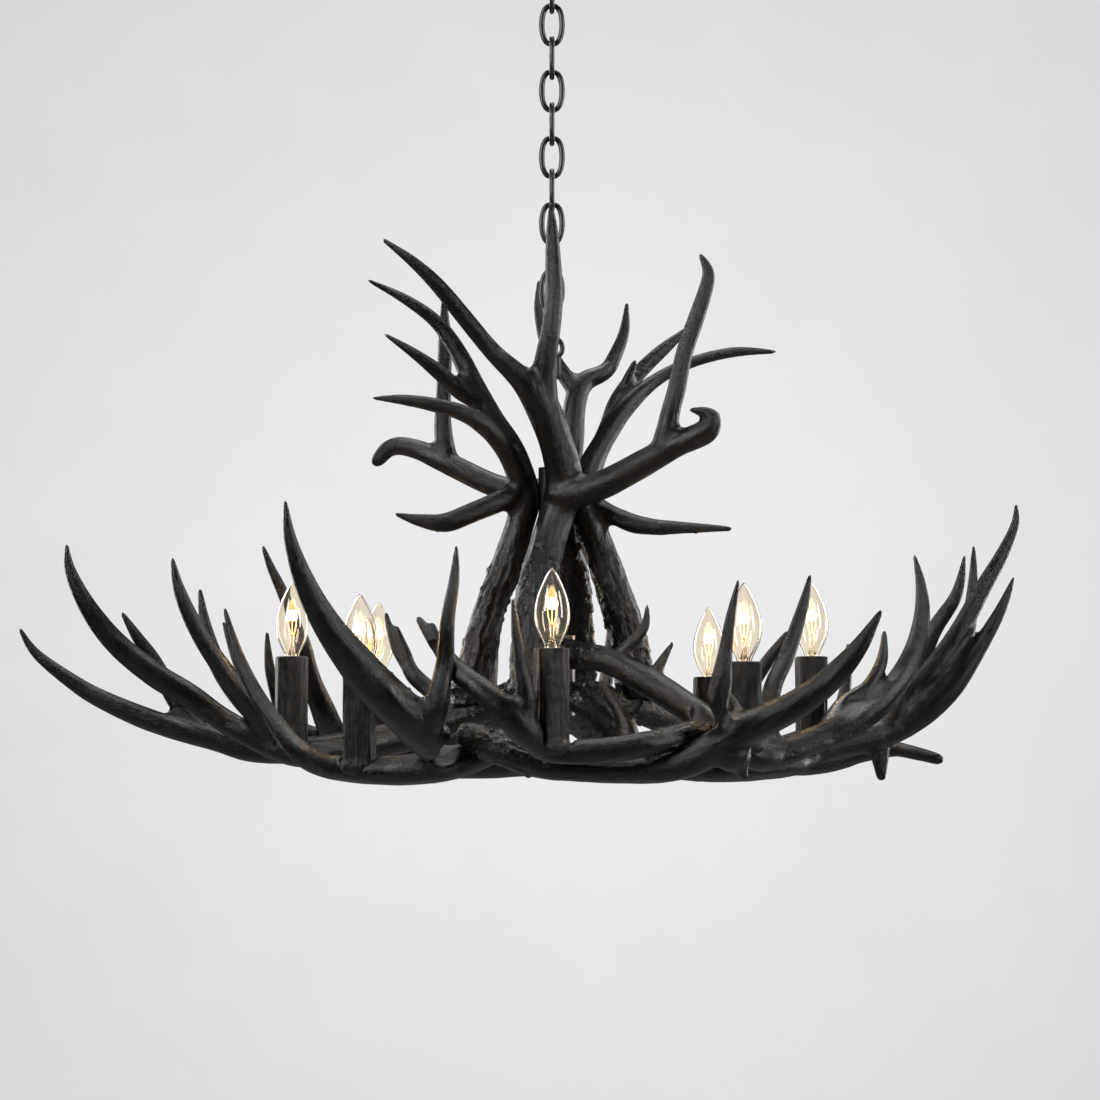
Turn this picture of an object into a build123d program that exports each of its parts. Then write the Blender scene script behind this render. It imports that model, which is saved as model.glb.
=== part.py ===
from build123d import *

import math
import os

# Antler chandelier, millimetres. The ceiling face is z = 0 and the fixture hangs below it.
# X runs to the right, Y away from the front of the fixture and Z up.

FIT = 0.2  # radial clearance of what is pushed or screwed into a hole
LAP_GAP = 0.1  # between faces that are flatted against each other

# --- ceiling -----------------------------------------------------------------------------
CANOPY_R = 63.5
CANOPY_DEPTH = 30.0
CANOPY_RIM = 6.0  # straight part of the rim
CANOPY_WALL = 1.6
CANOPY_BOSS_R = 16.0
BAR_LENGTH = 106.0
BAR_WIDTH = 20.0
BAR_THICK = 2.5
BAR_BOSS = 5.0
BOX_SCREWS = 88.9  # spacing of the junction box's two screws
BOX_SCREW_HOLE = 4.4
NIPPLE_R = 4.8
COLLAR_R = 11.0
COLLAR_LENGTH = 25.0

# --- chain -------------------------------------------------------------------------------
LINK_COUNT = 11
LINK_PITCH = 35.0  # from the seat of one link to the seat of the next
LINK_WIRE = 5.4
LINK_WIDTH = 27.0
HANG_GAP = 0.35  # between two wires that hang in each other
LOOP_R = 10.8  # to the middle of the wire of the rings at both ends of the chain
TOP_RING_Z = -CANOPY_DEPTH - COLLAR_LENGTH - LOOP_R - LINK_WIRE / 2 + 1.5
CHAIN_TOP_Z = TOP_RING_Z - LOOP_R + LINK_WIRE / 2 + HANG_GAP / 2
CHAIN_END_Z = CHAIN_TOP_Z - LINK_COUNT * LINK_PITCH
HUB_RING_Z = CHAIN_END_Z + HANG_GAP / 2 + LINK_WIRE / 2 - LOOP_R

# --- stem and hubs -----------------------------------------------------------------------
CHAIN_OVER_RING = 445.0  # from the chain's end down to the level that antlers are set from
RING_Z = CHAIN_END_Z - CHAIN_OVER_RING
STEM_R = 5.0
HUB_COLLAR_R = 9.0
HUB_COLLAR_LENGTH = 16.0
STEM_TOP_Z = HUB_RING_Z - LOOP_R - LINK_WIRE
LOW_HUB_R = 24.0
HUB_BOTTOM = 56.0  # this and what follows are levels above RING_Z
HUB_TOP = 138.0
HIGH_HUB_R = 14.0
HIGH_HUB_BOTTOM = 236.0
HIGH_HUB_MID = 275.0
HIGH_HUB_TOP = 312.0
NUT_ACROSS = 17.0
NUT_HIGH = 8.0
PIN_R = 2.0
PIN_END = 0.5  # depth that a hole keeps past the end of its dowel
PIN_BITE = 12.0
LAP_PIN = 0.6  # share of a limb's radius that a lap's dowel reaches into it

# --- lamps -------------------------------------------------------------------------------
LAMP_RADIUS = 268.0  # from the middle of the fixture to each lamp
LAMPS = {  # name: (degrees from the front toward the right, level of the sleeve's top)
    "front": (0, 115), "front_right": (44, 105), "right": (90, 117), "back_right": (140, 102),
    "back": (186, 107), "back_left": (225, 107), "left": (270, 117), "front_left": (316, 94),
}
SLEEVE_R = 17.3
SLEEVE_FACETS = 11
SLEEVE_FOOT = 12.0
SLEEVE_FLARE = 3.0
SEAT_SHARE = 0.35  # how far above the middle of its antler a sleeve stands, in radii
SOCKET_R = 12.6
SOCKET_LENGTH = 30.0
SOCKET_SINK = 3.0  # the socket's rim below the sleeve's
SOCKET_NIPPLE_R = 4.8
BASE_R = 5.95
BASE_LENGTH = 20.0
BULB_R = 17.5
BULB_NECK_R = 7.3
BULB_LENGTH = 79.0
BULB_GAP = 0.4  # the bulb's neck over the socket's rim
GLASS_WALL = 0.9
PLUG_LENGTH = 1.2  # cement that holds the envelope on its screw shell
POST_R = 2.2
POST_LENGTH = 24.0
WIRE_TOP = 41.7
WIRE_REACH = 4.0


def lamp_spot(name):
    turn = math.radians(LAMPS[name][0])
    return LAMP_RADIUS * math.sin(turn), -LAMP_RADIUS * math.cos(turn)


SECTION_STEP = 1.35  # from one circle of a limb's skin to the next, in radii
TIP_CAPS = [(0.75, 0.8), (1.25, 0.4)]  # circles past a tip: how far ahead and how wide, in radii
ROOT_CAP = (0.7, 0.75)

# Each limb is a list of (x, y, height above RING_Z, radius), from its root to its tip.
ANTLERS = {
    "front_left_antler": {
        "beam": [
            (-14, -36, 72, 13.5), (-24, -84, 52, 15.5), (-32, -124, 42, 16), (-54, -180, 24, 16), (-108, -215, 4, 16),
            (*lamp_spot("front_left"), 0, 13), (-243, -135, 13, 11.5), (-285, -95, 60, 8.5),
            (-312, -80, 107, 6.5), (-330, -72, 161, 2.8),
        ],
        "tines": [
            [(-98, -213, 8, 15), (-120, -258, 35, 21), (-147, -288, 61, 20), (-176, -305, 91, 18.5),
             (-206, -318, 130, 14.5), (-228, -328, 171, 10.5), (-242, -335, 212, 6.5), (-247, -338, 247, 2.6)],
            [(-122, -262, 32, 15), (-109, -282, 60, 12), (-101, -284, 98, 9.2), (-98, -290, 141, 7.2),
             (-92, -290, 178, 5.5), (-90, -288, 209, 2.5)],
        ],
    },
    "front_antler": {
        "beam": [
            (157, -202, 36, 11), (132, -226, 34, 13), (94, -254, 25, 12.5), (45, -266, 18, 12.5),
            (*lamp_spot("front"), 18, 12), (-18, -280, 30, 14), (-32, -288, 44, 15), (-58, -286, 68, 12.5),
            (-88, -275, 92, 10.4), (-106, -263, 114, 8), (-126, -252, 142, 4),
        ],
        "tines": [
            [(-26, -284, 38, 13), (-24, -291, 65, 10), (-29, -294, 98, 7.2), (-34, -296, 129, 5),
             (-37, -297, 159, 2.3)],
            [(-100, -266, 106, 6.5), (-108, -261, 122, 5), (-113, -259, 136, 3.5)],
        ],
    },
    "front_right_antler": {
        "beam": [
            (-80, -219, 34, 13), (-52, -232, 20, 14.5), (-18, -234, 7, 14), (22, -234, 2, 13.5),
            (65, -234, 0, 13), (108, -238, 2, 14), (141, -242, 14, 17), (162, -245, 30, 19),
            (198, -250, 45, 15.5), (235, -255, 64, 14), (268, -258, 90, 12), (292, -260, 118, 8.5),
            (311, -262, 149, 3),
        ],
        "tines": [
            [(156, -244, 26, 16), (154, -256, 52, 12.5), (160, -262, 83, 10.5), (164, -265, 113, 7),
             (169, -267, 146, 5), (176, -268, 178, 2.4)],
            [(180, -245, 40, 9), (173, -233, 62, 6.5), (167, -228, 76, 3)],
            [(162, -245, 28, 18), (172, -242, 14, 17), (178, -240, 4, 12), (181, -239, -3, 6)],
        ],
    },
    "right_front_antler": {
        "beam": [
            (2, -24, 120, 16), (33, -72, 114, 14), (59, -92, 108, 13.5), (97, -120, 86, 14.5),
            (136, -152, 59, 14.5), (162, -178, 36, 15), (*lamp_spot("front_right"), 18, 15),
            (210, -174, 13, 14.5),
            (252, -127, 27, 13.5), (299, -77, 44, 13.5), (339, -42, 74, 13), (367, -22, 112, 11.5),
            (380, -13, 154, 9), (380, -9, 190, 6), (374, -6, 220, 2.5),
        ],
        "tines": [
            [(62, -94, 110, 9), (80, -100, 127, 6.5), (93, -101, 144, 5), (95, -100, 163, 2.6)],
            [(99, -121, 88, 8), (108, -116, 106, 5.5), (120, -112, 126, 2.5)],
            [(208, -172, 20, 13), (217, -135, 78, 9.5), (234, -108, 114, 8.5), (251, -88, 160, 6.5),
             (260, -78, 195, 2.6)],
            [(266, -105, 28, 11), (294, -62, 66, 8.5), (320, -52, 83, 8), (335, -46, 110, 6.5),
             (338, -45, 139, 3)],
        ],
    },
    "right_antler": {
        "beam": [
            (21, -34, 76, 14), (40, -70, 62, 14.5), (56, -102, 40, 14), (79, -136, 18, 14),
            (125, -168, 4, 14), (180, -146, 2, 14), (242, -78, 8, 14), (*lamp_spot("right"), 19, 14),
            (338, 25, 36, 15), (378, 32, 54, 14), (414, 35, 83, 12), (441, 38, 120, 9.5),
            (468, 40, 165, 6.5), (483, 42, 200, 2.5),
        ],
        "tines": [
            [(350, 27, 42, 14), (371, 33, 76, 12.5), (397, 38, 104, 12), (425, 44, 143, 10.5),
             (453, 50, 192, 9), (472, 54, 224, 7.3), (487, 57, 256, 5), (489, 57, 278, 2.6)],
            [(338, 25, 34, 13), (340, 24, 14, 9.5), (341, 23, -4, 6)],
            [(79, -136, 18, 11), (76, -130, 36, 10), (69, -125, 55, 8), (50, -118, 84, 4.5)],
            [(72, -127, 48, 7.5), (79, -126, 58, 6), (87, -126, 67, 4.5)],
        ],
    },
    "back_right_antler": {
        "beam": [
            (40, 3, 78, 14), (90, 16, 62, 14.5), (132, 42, 45, 14.5), (190, 85, 22, 14),
            (250, 118, 8, 14), (310, 135, 14, 13.5), (365, 145, 42, 13), (399, 150, 79, 12),
            (428, 152, 104, 10.5), (448, 155, 142, 9), (456, 158, 195, 6.5), (458, 160, 241, 2.6),
        ],
        "tines": [
            [(372, 146, 48, 11), (390, 136, 96, 10), (409, 130, 147, 9), (434, 126, 187, 7),
             (443, 124, 228, 2.6)],
            [(310, 135, 14, 11), (362, 120, 22, 8.5), (386, 108, 18, 7.5), (408, 100, 12, 6.5)],
            [(188, 84, 24, 10), (206, 76, 80, 8.5), (228, 64, 116, 7), (247, 56, 144, 3)],
        ],
    },
    "back_antler": {
        "beam": [
            (12, 38, 78, 13.5), (26, 92, 52, 14.5), (66, 158, 26, 14), (120, 202, 10, 14),
            (*lamp_spot("back_right"), 5, 14), (215, 190, 14, 13), (265, 185, 30, 12),
            (340, 195, 60, 11), (384, 200, 104, 9), (402, 203, 170, 2.8),
        ],
        "tines": [
            [(300, 188, 44, 10), (318, 214, 70, 8), (326, 230, 104, 6), (328, 238, 138, 2.8)],
        ],
    },
    "rear_antler": {
        "beam": [
            (104, 216, 28, 12.5), (70, 246, 14, 14), (22, 263, 9, 15), (*lamp_spot("back"), 8, 15.5),
            (-90, 262, 6, 16), (-146, 256, 8, 16), (-200, 234, 13, 15.5), (-240, 192, 24, 15),
            (-290, 180, 40, 14.5), (-330, 182, 70, 13), (-362, 190, 110, 10.5),
            (-378, 196, 150, 8), (-386, 200, 196, 3),
        ],
        "tines": [
            [(24, 264, 10, 12), (44, 288, 40, 10.5), (58, 304, 85, 9), (66, 314, 135, 7),
             (70, 319, 185, 5), (71, 321, 214, 2.6)],
            [(-88, 262, 8, 12), (-78, 292, 40, 10), (-71, 312, 85, 8.5), (-67, 322, 130, 7),
             (-66, 327, 174, 5), (-67, 329, 203, 2.6)],
            [(-136, 258, 8, 11), (-150, 290, 30, 8.5), (-158, 306, 62, 6), (-161, 312, 92, 2.8)],
        ],
    },
    "back_left_antler": {
        "beam": [
            (-17, 36, 80, 13.5), (-74, 88, 52, 16), (-136, 142, 22, 16),
            (*lamp_spot("back_left"), 8, 14.5), (-228, 168, 16, 13.5), (-232, 125, 34, 14),
            (-241, 100, 58, 13.5), (-254, 80, 95, 10.5), (-264, 72, 137, 8.5),
            (-284, 66, 187, 6.5), (-296, 62, 213, 4.8), (-304, 60, 234, 2.6),
        ],
        "tines": [
            [(-232, 130, 30, 11), (-280, 125, 50, 8.5), (-300, 122, 100, 6.5), (-305, 120, 146, 2.8)],
            [(-70, 72, 56, 12), (-119, 92, 78, 10), (-148, 100, 102, 9), (-156, 104, 124, 6.5),
             (-165, 106, 151, 3)],
            [(-145, 99, 98, 8), (-166, 108, 130, 6), (-177, 112, 166, 3)],
        ],
    },
    "left_back_antler": {
        "beam": [
            (-37, 14, 80, 13.5), (-100, 34, 58, 15), (-170, 42, 34, 15), (-240, 46, 22, 14.5),
            (-310, 44, 21, 13.5), (-350, 42, 32, 12.5), (-389, 40, 42, 12), (-430, 38, 56, 11.5),
            (-470, 36, 74, 10), (-497, 34, 90, 8.5), (-536, 30, 120, 5.5), (-553, 28, 145, 2.8),
        ],
        "tines": [
            [(-362, 42, 35, 11), (-392, 48, 70, 9.5), (-416, 50, 113, 8), (-434, 51, 138, 6.5),
             (-450, 52, 163, 3)],
            [(-262, 46, 24, 10), (-305, 78, 70, 8), (-331, 86, 111, 6.5), (-348, 90, 155, 2.8)],
        ],
    },
    "left_antler": {
        "beam": [
            (-36, -16, 78, 13.5), (-90, -20, 54, 14.5), (-150, -20, 32, 14), (-210, -10, 20, 14),
            (*lamp_spot("left"), 18, 14), (-333, 4, 48, 12.5), (-372, 4, 75, 13), (-411, 2, 99, 13),
            (-450, 0, 131, 12), (-478, -4, 167, 9.7), (-496, -8, 204, 6.3), (-500, -10, 230, 2.8),
        ],
        "tines": [
            [(-290, 2, 30, 12), (-309, -16, 68, 11.5), (-335, -28, 101, 10.5), (-360, -36, 139, 9),
             (-379, -40, 180, 6.8), (-387, -42, 214, 2.8)],
        ],
    },
    "crown_front_antler": {
        "beam": [
            (-24, -84, 66, 18), (-22, -80, 108, 20), (-19, -70, 146, 21), (-15, -58, 182, 20.5),
            (-7, -42, 219, 18.5), (3, -32, 255, 18), (12, -32, 284, 19), (11, -36, 310, 18.5),
            (3, -41, 338, 17.5), (-11, -48, 372, 17.5), (-32, -57, 398, 12.5), (-60, -66, 424, 9.5),
            (-88, -74, 457, 9), (-115, -82, 489, 8), (-140, -90, 512, 6), (-169, -98, 533, 2.8),
        ],
        "tines": [
            [(-9, -47, 378, 15), (-7, -56, 412, 12), (-1, -62, 450, 10), (2, -58, 486, 9.6),
             (1, -50, 528, 8), (0, -45, 556, 6), (-1, -42, 580, 2.5)],
            [(10, -36, 280, 17), (49, -50, 289, 15), (95, -74, 311, 14), (125, -88, 327, 13),
             (150, -97, 337, 12.5), (162, -102, 348, 10), (156, -104, 357, 7), (140, -106, 360, 3)],
            [(113, -84, 324, 13), (119, -88, 359, 10), (125, -89, 380, 9.5), (134, -90, 421, 9),
             (147, -90, 459, 8.5), (156, -90, 487, 7.5), (158, -90, 503, 6.2), (151, -90, 518, 3.2)],
        ],
    },
    "crown_left_antler": {
        "beam": [
            (-87, -14, 66, 18), (-82, -11, 90, 19), (-75, -8, 120, 18.5), (-62, -5, 170, 16), (-48, -3, 206, 16.5),
            (-35, -2, 247, 15), (-27, -2, 278, 15), (-32, -1, 306, 14), (-41, 2, 335, 11),
            (-60, 4, 363, 11), (-80, 6, 398, 11), (-98, 8, 434, 9.5), (-120, 8, 465, 7.5),
            (-151, 6, 488, 5.8), (-190, 4, 508, 2.5),
        ],
        "tines": [
            [(-34, -4, 286, 13), (-60, -20, 273, 11), (-84, -30, 262, 10.5), (-109, -38, 252, 10),
             (-134, -42, 254, 7), (-159, -45, 260, 2.5)],
            [(-32, -6, 298, 13), (-45, -22, 323, 10.5), (-61, -38, 345, 11), (-88, -52, 362, 9),
             (-123, -62, 371, 7.5), (-153, -68, 375, 5.5), (-180, -72, 376, 2.5)],
            [(-72, 5, 382, 10), (-92, -2, 389, 9), (-115, -8, 409, 8.5), (-140, -12, 428, 6),
             (-172, -14, 449, 2.5)],
        ],
    },
    "crown_back_antler": {
        "beam": [
            (30, 92, 64, 16), (30, 88, 112, 17), (27, 78, 146, 17), (26, 62, 180, 16.5), (20, 45, 215, 16),
            (10, 33, 255, 16), (6, 31, 286, 16), (14, 35, 316, 14), (21, 40, 340, 12.5),
            (24, 46, 382, 12), (34, 54, 408, 11), (57, 62, 421, 9), (69, 72, 443, 7.5),
            (77, 78, 466, 6), (80, 82, 495, 2.8),
        ],
        "tines": [
            [(26, 50, 398, 10), (8, 56, 424, 8), (-8, 58, 455, 6.5), (-14, 57, 488, 5.4), (-14, 56, 515, 2.6)],
            [(0, 34, 290, 14), (-54, 45, 296, 12.5), (-110, 60, 323, 12), (-144, 70, 339, 10.5),
             (-169, 75, 342, 9.5), (-183, 78, 330, 8)],
            [(-110, 61, 326, 11), (-115, 62, 362, 9.5), (-114, 60, 410, 8), (-113, 56, 451, 7.5),
             (-114, 52, 500, 3)],
        ],
    },
    "crown_right_antler": {
        "beam": [
            (88, 22, 74, 17), (85, 20, 104, 19), (80, 16, 135, 19), (67, 10, 176, 18.5), (55, 8, 212, 17),
            (41, 6, 248, 16), (29, 6, 276, 15.5), (34, 12, 302, 14), (42, 20, 322, 12),
            (54, 26, 343, 11), (76, 38, 378, 10.5), (108, 52, 409, 7.5), (147, 62, 430, 6.3),
            (193, 68, 442, 5.8), (236, 72, 443, 2.8),
        ],
        "tines": [
            [(42, 18, 314, 11), (58, 38, 355, 10), (70, 56, 389, 9.5), (93, 72, 421, 8.5),
             (120, 82, 448, 7), (148, 88, 472, 2.8)],
            [(73, 58, 393, 7), (80, 54, 412, 5.5), (87, 50, 428, 3.5)],
            [(34, 8, 280, 13), (56, 0, 267, 9.5), (82, -12, 254, 10), (106, -20, 249, 8.5),
             (128, -26, 248, 7), (156, -32, 247, 5), (181, -36, 246, 3.2)],
        ],
    },
}


# Where two antlers meet they are flatted against each other and share a hidden dowel.
LAPS = [
    ("front_left_antler", "front_right_antler"), ("front_antler", "front_right_antler"),
    ("front_antler", "right_front_antler"),
    ("front_left_antler", "front_antler"), ("rear_antler", "back_antler"),
    ("rear_antler", "back_left_antler"),
]
# A lap's dowel that would meet the seat of a lamp's sleeve is moved along the lap.
PIN_ASIDE = {("front_antler", "right_front_antler"): (-3.65, 2.4, -1.1)}
# Each crown antler's foot stands on a lower antler, at a level above RING_Z.
FEET = [
    ("crown_front_antler", "front_left_antler", 64), ("crown_left_antler", "left_antler", 66),
    ("crown_back_antler", "back_antler", 62), ("crown_right_antler", "back_right_antler", 73),
]
HUB_ROOTS = [
    "front_left_antler", "right_antler", "back_right_antler", "back_antler",
    "back_left_antler", "left_back_antler", "left_antler", "right_front_antler",
]
CROWN = ["crown_front_antler", "crown_left_antler", "crown_back_antler", "crown_right_antler"]
LAMP_BEARERS = {
    "front": "front_antler", "front_right": "right_front_antler", "right": "right_antler",
    "back_right": "back_antler", "back": "rear_antler", "back_left": "back_left_antler",
    "left": "left_antler", "front_left": "front_left_antler",
}


def blended(limb, steps):
    """Points along one limb, evenly between its rows, as (Vector, radius)."""
    rows = [limb[0], *limb, limb[-1]]
    out = []
    for a, b, c, d in zip(rows, rows[1:], rows[2:], rows[3:]):
        for i in range(steps):
            t = i / steps
            x, y, h, r = (
                0.5 * (2 * q + (s - p) * t + (2 * p - 5 * q + 4 * s - u) * t**2
                       + (3 * q - p - 3 * s + u) * t**3)
                for p, q, s, u in zip(a, b, c, d)
            )
            out.append((Vector(x, y, RING_Z + h), r))
    x, y, h, r = limb[-1]
    return out + [(Vector(x, y, RING_Z + h), r)]


def sampled(name, steps=6):
    """Points with radii along every limb of an antler, as (Vector, radius)."""
    limbs = ANTLERS[name]
    return [row for limb in [limbs["beam"]] + limbs["tines"] for row in blended(limb, steps)]


def horn(limb):
    """One limb as a smooth skin through circles that stand closer where it is thinner."""
    rows = blended(limb, 24)
    gone = [0.0]
    for (p, r), (q, s) in zip(rows, rows[1:]):
        gone.append(gone[-1] + (q - p).length / (SECTION_STEP * (r + s) / 2))
    count = max(3, round(gone[-1]))
    picked, at = [], 0
    for i in range(count + 1):
        want = gone[-1] * i / count
        while at < len(gone) - 2 and gone[at + 1] < want:
            at += 1
        share = (want - gone[at]) / (gone[at + 1] - gone[at])
        (p, r), (q, s) = rows[at], rows[at + 1]
        picked.append((p + (q - p) * share, r + (s - r) * share))
    points, radii = [row[0] for row in picked], [row[1] for row in picked]
    turns = [(b - a).normalized() for a, b in zip(points[:1] + points, points[1:] + points[-1:])]
    for ahead, share in TIP_CAPS:  # the tip's rounding
        points.append(picked[-1][0] + turns[count] * (radii[count] * ahead))
        radii.append(radii[count] * share)
        turns.append(turns[count])
    ahead, share = ROOT_CAP
    points.insert(0, points[0] - turns[0] * (radii[0] * ahead))
    radii.insert(0, radii[0] * share)
    turns.insert(0, turns[0])
    across = turns[0].cross(Vector(0.31, 0.17, 0.93)).normalized()
    rings = []
    for point, turn, radius in zip(points, turns, radii):
        across = (across - turn * across.dot(turn)).normalized()
        rings.append(Plane(origin=point, x_dir=across, z_dir=turn) * Circle(radius))
    return loft(rings)


def antler(name):
    limbs = ANTLERS[name]
    body = horn(limbs["beam"])
    for tine in limbs["tines"]:
        body = body.fuse(horn(tine))
    return body


def rod(start, end, radius):
    return Plane(origin=start, z_dir=(end - start).normalized()) * Cylinder(
        radius, (end - start).length, align=(Align.CENTER, Align.CENTER, Align.MIN))


def upright(x, y, bottom, top, radius):
    return rod(Vector(x, y, bottom), Vector(x, y, top), radius)


def nearest(one, two):
    return min(((a, b) for a in sampled(one) for b in sampled(two)),
               key=lambda pair: (pair[0][0] - pair[1][0]).length - pair[0][1] - pair[1][1])


def beam_at(name, x, y):
    """Centre and radius of an antler's limb where it passes under or over a spot."""
    return min(sampled(name), key=lambda row: math.hypot(row[0].X - x, row[0].Y - y))


# --- pieces ------------------------------------------------------------------------------
def ring(centre, radius, wire, normal):
    return Plane(origin=centre, z_dir=normal) * Torus(radius, wire / 2)


def chain_link(middle, edge_on):
    """A welded link whose wire follows two straights and two half rings."""
    bow = (LINK_WIDTH - LINK_WIRE) / 2
    straight = LINK_PITCH + HANG_GAP + LINK_WIRE - 2 * bow
    wide = Vector(0, 1, 0) if edge_on else Vector(1, 0, 0)
    frame = Plane(origin=middle, x_dir=wide, z_dir=wide.cross(Vector(0, 0, 1)))
    bend = revolve(Pos(bow, 0, 0) * Rot(90, 0, 0) * Circle(LINK_WIRE / 2), Axis.Z, 180)
    top = frame * Pos(0, straight / 2, 0) * bend
    bottom = frame * Pos(0, -straight / 2, 0) * Rot(0, 0, 180) * bend
    legs = [frame * Pos(side * bow, 0, 0) * Rot(90, 0, 0) * Cylinder(LINK_WIRE / 2, straight)
            for side in (-1, 1)]
    return top.fuse(bottom, *legs)


def canopy():
    """A thin spun dome, open to the ceiling, with a hole for the nipple."""
    outer = [(0, -CANOPY_DEPTH), (CANOPY_BOSS_R, -CANOPY_DEPTH)]
    skin = []
    for step in range(9):
        t = step / 8
        radius = CANOPY_BOSS_R + (CANOPY_R - CANOPY_BOSS_R) * math.sin(t * math.pi / 2)
        rise = (CANOPY_DEPTH - CANOPY_RIM) * (1 - math.cos(t * math.pi / 2))
        skin.append((radius, rise - CANOPY_DEPTH))
    inner = [(r - CANOPY_WALL, z + CANOPY_WALL) for r, z in skin]
    profile = Polyline(outer[0], *skin, (CANOPY_R, 0), (CANOPY_R - CANOPY_WALL, 0),
                       *reversed(inner), (0, -CANOPY_DEPTH + CANOPY_WALL), outer[0])
    dome = revolve(Plane.XZ * make_face(profile), Axis.Z)
    return dome - upright(0, 0, -2 * CANOPY_DEPTH, 0, NIPPLE_R + FIT)


def crossbar():
    """The slotted strap that screws to the junction box behind the canopy."""
    strap = Pos(0, 0, -BAR_THICK / 2) * Box(BAR_LENGTH, BAR_WIDTH, BAR_THICK)
    strap = fillet(strap.edges().filter_by(Axis.Z), BAR_WIDTH / 2 - 1)
    for side in (-1, 1):
        strap -= upright(side * BOX_SCREWS / 2, 0, -BAR_THICK, 0, BOX_SCREW_HOLE / 2)
    boss = upright(0, 0, -BAR_THICK - BAR_BOSS, 0, NIPPLE_R + 3)
    return strap + boss - upright(0, 0, -BAR_THICK - BAR_BOSS, 0, NIPPLE_R + FIT)


def canopy_loop():
    """The screw collar under the canopy with the ring that the chain hangs from."""
    top = -CANOPY_DEPTH
    collar = upright(0, 0, top - COLLAR_LENGTH, top, COLLAR_R)
    collar = fillet(collar.edges().filter_by(GeomType.CIRCLE), 2)
    for groove in range(3):
        level = top - COLLAR_LENGTH * (0.3 + 0.2 * groove)
        collar -= ring(Vector(0, 0, level), COLLAR_R + 0.3, 2, Vector(0, 0, 1))
    collar -= upright(0, 0, top - COLLAR_LENGTH / 2, top, NIPPLE_R + FIT)
    hoop = ring(Vector(0, 0, TOP_RING_Z), LOOP_R, LINK_WIRE, Vector(0, 1, 0))
    return collar + hoop


def hub_loop():
    """The ring and screwed collar that the last link carries."""
    hoop = ring(Vector(0, 0, HUB_RING_Z), LOOP_R, LINK_WIRE, Vector(0, 1, 0))
    collar = upright(0, 0, STEM_TOP_Z - HUB_COLLAR_LENGTH, HUB_RING_Z - LOOP_R, HUB_COLLAR_R)
    collar = fillet(collar.edges().group_by(Axis.Z)[0], 1.5)
    return hoop + collar - upright(0, 0, STEM_TOP_Z - 2 * HUB_COLLAR_LENGTH, STEM_TOP_Z, STEM_R + FIT)


def hex_nut(level):
    nut = extrude(Plane(origin=(0, 0, level)) * RegularPolygon(NUT_ACROSS / math.sqrt(3), 6), NUT_HIGH)
    return nut - upright(0, 0, level - 1, level + NUT_HIGH + 1, STEM_R + FIT)


def sleeve_seat(name):
    """Level of the flat that a sleeve stands on, a little over the antler's middle."""
    centre, radius = beam_at(LAMP_BEARERS[name], *lamp_spot(name))
    return centre.Z + SEAT_SHARE * radius


def sleeve(name):
    """A hewn tube with a flared foot that stands on the antler and hides the socket."""
    x, y = lamp_spot(name)
    top, seat = RING_Z + LAMPS[name][1], sleeve_seat(name)
    outline = RegularPolygon(SLEEVE_R + 0.6, SLEEVE_FACETS)
    facets = extrude(Plane(origin=(x, y, seat)) * outline, top - seat)
    barrel = fillet(facets.faces().sort_by(Axis.Z)[-1].edges(), 1.5)
    foot = Pos(x, y, seat + SLEEVE_FOOT / 2) * Cone(SLEEVE_R + SLEEVE_FLARE, SLEEVE_R, SLEEVE_FOOT)
    return barrel + foot - upright(x, y, seat - 1, top + 1, SOCKET_R + FIT)


def socket(name):
    """Candelabra socket on its threaded nipple."""
    x, y = lamp_spot(name)
    top = RING_Z + LAMPS[name][1] - SOCKET_SINK
    centre, radius = beam_at(LAMP_BEARERS[name], x, y)
    floor = top - SOCKET_LENGTH
    body = upright(x, y, floor, top, SOCKET_R)
    body = fillet(body.edges().group_by(Axis.Z)[0], 2)
    stalk = upright(x, y, centre.Z - radius * 0.4, floor + 1, SOCKET_NIPPLE_R)
    return body + stalk - upright(x, y, top - BASE_LENGTH - FIT, top, BASE_R + FIT + 0.15)


def flame(outer, inset):
    """The solid inside a bulb's outline, drawn in by a wall's thickness."""
    crown = (0, BULB_LENGTH - inset * 1.6)
    skin = Spline(*[(r - inset, z) for r, z in outer], crown)
    face = make_face([skin, Line(crown, (0, 0)), Line((0, 0), (BULB_NECK_R - inset, 0))])
    return revolve(Plane.XZ * face, Axis.Z)


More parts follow.
